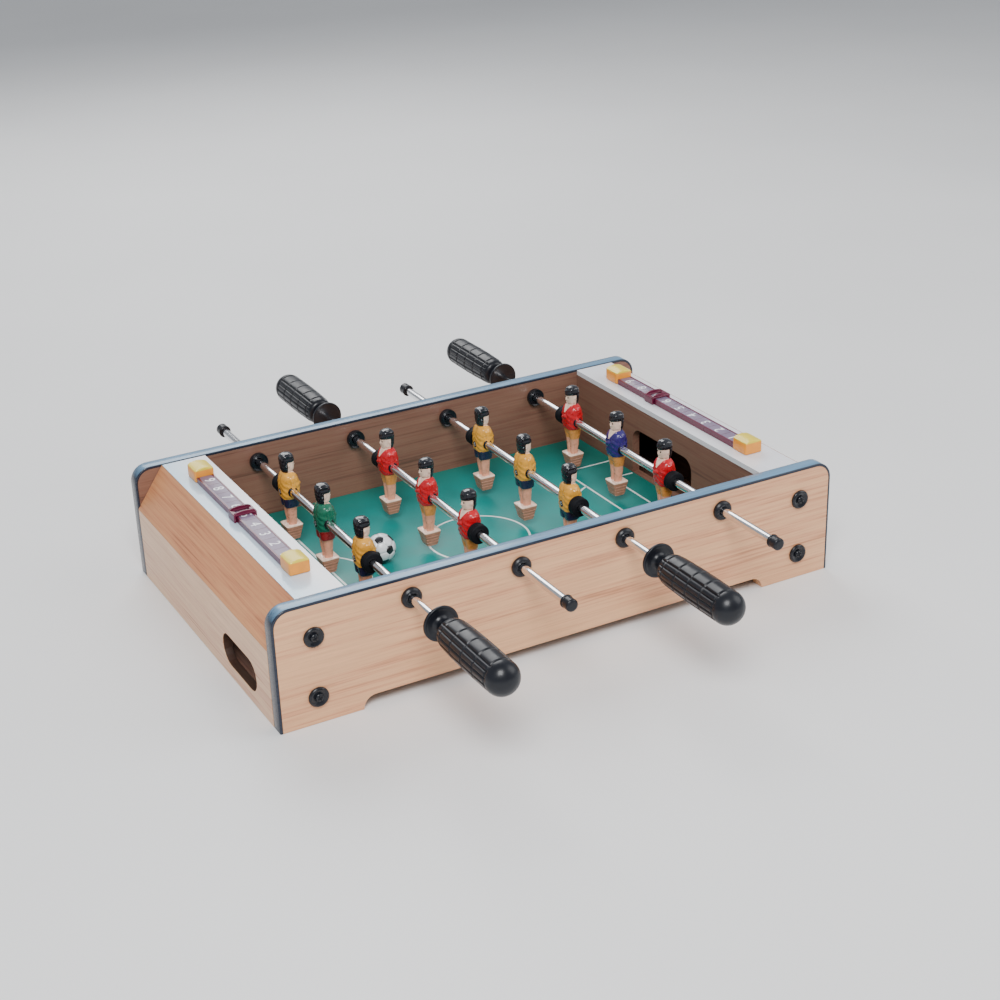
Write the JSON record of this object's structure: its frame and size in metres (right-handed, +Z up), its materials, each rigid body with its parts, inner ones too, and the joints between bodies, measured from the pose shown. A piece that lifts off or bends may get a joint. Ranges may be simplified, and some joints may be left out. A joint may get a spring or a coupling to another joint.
{
  "type": "tabletop foosball table",
  "caption": "Small laminated board football table with sliding, spinning rods of figures, goal mouths, ball returns, sliding goal counters and a ball",
  "frame": {"origin": "centre of the footprint on the plane that the case stands on", "axes": "+X along the case to the right goal, +Y across it away from the first player's side, +Z up"},
  "size_m": [0.342, 0.419, 0.0787],
  "materials": {
    "light_wood": "satin beech print laminate, fine straight grain",
    "dark_board": "matt dark walnut print board",
    "pale_laminate": "glossy pale laminate",
    "black_edging": "semi-gloss black edging strip",
    "green_pitch": "printed green board with white lines",
    "chrome_rod": "polished, with rubber bumpers in black",
    "black_plastic": "moulded black plastic, soft sheen",
    "yellow_plastic": "moulded",
    "maroon_plastic": "moulded, number strip printed pale violet",
    "yellow_figure": "painted figure, yellow shirt and navy shorts",
    "red_figure": "painted figure, red shirt and tan shorts",
    "green_figure": "painted figure, green shirt and dark red shorts",
    "blue_figure": "painted figure, navy shirt and tan shorts",
    "ball_plastic": "white with black panels"
  },
  "bodies": {
    "table": {"front_side_panel": "light_wood", "front_edge_band": "black_edging", "back_side_panel": "light_wood", "back_edge_band": "black_edging", "pitch_board": "green_pitch", "left_goal_wall": "dark_board", "left_end_panel": "light_wood", "left_sloping_cover": "light_wood", "left_ledge": "pale_laminate", "left_ball_tray": "dark_board", "left_front_corner_block": "dark_board", "left_back_corner_block": "dark_board", "right_goal_wall": "dark_board", "right_end_panel": "light_wood", "right_sloping_cover": "light_wood", "right_ledge": "pale_laminate", "right_ball_tray": "dark_board", "right_front_corner_block": "dark_board", "right_back_corner_block": "dark_board", "left_goal_rod_front_bushing": "black_plastic", "left_goal_rod_back_bushing": "black_plastic", "left_attack_rod_front_bushing": "black_plastic", "left_attack_rod_back_bushing": "black_plastic", "right_attack_rod_front_bushing": "black_plastic", "right_attack_rod_back_bushing": "black_plastic", "right_goal_rod_front_bushing": "black_plastic", "right_goal_rod_back_bushing": "black_plastic", "left_counter_rail": "maroon_plastic", "left_front_counter_block": "yellow_plastic", "left_back_counter_block": "yellow_plastic", "right_counter_rail": "maroon_plastic", "right_front_counter_block": "yellow_plastic", "right_back_counter_block": "yellow_plastic"},
    "left_goal_rod_slide": {"left_goal_rod_end_cap": "black_plastic"},
    "left_goal_rod_spin": {"left_goal_rod": "chrome_rod", "left_goal_rod_handle": "black_plastic", "left_goal_rod_front_figure": "yellow_figure", "left_goal_rod_middle_figure": "green_figure", "left_goal_rod_back_figure": "yellow_figure"},
    "left_attack_rod_slide": {"left_attack_rod_end_cap": "black_plastic"},
    "left_attack_rod_spin": {"left_attack_rod": "chrome_rod", "left_attack_rod_handle": "black_plastic", "left_attack_rod_front_figure": "red_figure", "left_attack_rod_middle_figure": "red_figure", "left_attack_rod_back_figure": "red_figure"},
    "right_attack_rod_slide": {"right_attack_rod_end_cap": "black_plastic"},
    "right_attack_rod_spin": {"right_attack_rod": "chrome_rod", "right_attack_rod_handle": "black_plastic", "right_attack_rod_front_figure": "yellow_figure", "right_attack_rod_middle_figure": "yellow_figure", "right_attack_rod_back_figure": "yellow_figure"},
    "right_goal_rod_slide": {"right_goal_rod_end_cap": "black_plastic"},
    "right_goal_rod_spin": {"right_goal_rod": "chrome_rod", "right_goal_rod_handle": "black_plastic", "right_goal_rod_front_figure": "red_figure", "right_goal_rod_middle_figure": "blue_figure", "right_goal_rod_back_figure": "red_figure"},
    "left_counter": {"left_counter_slider": "maroon_plastic"},
    "right_counter": {"right_counter_slider": "maroon_plastic"},
    "ball": {"ball": "ball_plastic"}
  },
  "joints": [
    {"name": "left_goal_rod_push_pull", "type": "slide", "parent": "table", "child": "left_goal_rod_slide", "axis": [0, 1, 0], "range_m": [-0.029, 0.029]},
    {"name": "left_goal_rod_rotation", "type": "hinge", "parent": "left_goal_rod_slide", "child": "left_goal_rod_spin", "pos_m": [-0.0954, 0, 0.0563], "axis": [0, 1, 0], "continuous": true},
    {"name": "left_attack_rod_push_pull", "type": "slide", "parent": "table", "child": "left_attack_rod_slide", "axis": [0, 1, 0], "range_m": [-0.029, 0.029]},
    {"name": "left_attack_rod_rotation", "type": "hinge", "parent": "left_attack_rod_slide", "child": "left_attack_rod_spin", "pos_m": [-0.0318, 0, 0.0563], "axis": [0, 1, 0], "continuous": true},
    {"name": "right_attack_rod_push_pull", "type": "slide", "parent": "table", "child": "right_attack_rod_slide", "axis": [0, 1, 0], "range_m": [-0.029, 0.029]},
    {"name": "right_attack_rod_rotation", "type": "hinge", "parent": "right_attack_rod_slide", "child": "right_attack_rod_spin", "pos_m": [0.0318, 0, 0.0563], "axis": [0, 1, 0], "continuous": true},
    {"name": "right_goal_rod_push_pull", "type": "slide", "parent": "table", "child": "right_goal_rod_slide", "axis": [0, 1, 0], "range_m": [-0.029, 0.029]},
    {"name": "right_goal_rod_rotation", "type": "hinge", "parent": "right_goal_rod_slide", "child": "right_goal_rod_spin", "pos_m": [0.0954, 0, 0.0563], "axis": [0, 1, 0], "continuous": true},
    {"name": "left_counter_slide", "type": "slide", "parent": "table", "child": "left_counter", "axis": [0, 1, 0], "range_m": [-0.061, 0.053]},
    {"name": "right_counter_slide", "type": "slide", "parent": "table", "child": "right_counter", "axis": [0, 1, 0], "range_m": [-0.0815, 0.0325]},
    {"name": "ball_roll", "type": "hinge", "parent": "table", "child": "ball", "pos_m": [-0.06161, 0.0023, 0.0292], "axis": [0, 1, 0], "continuous": true}
  ]
}
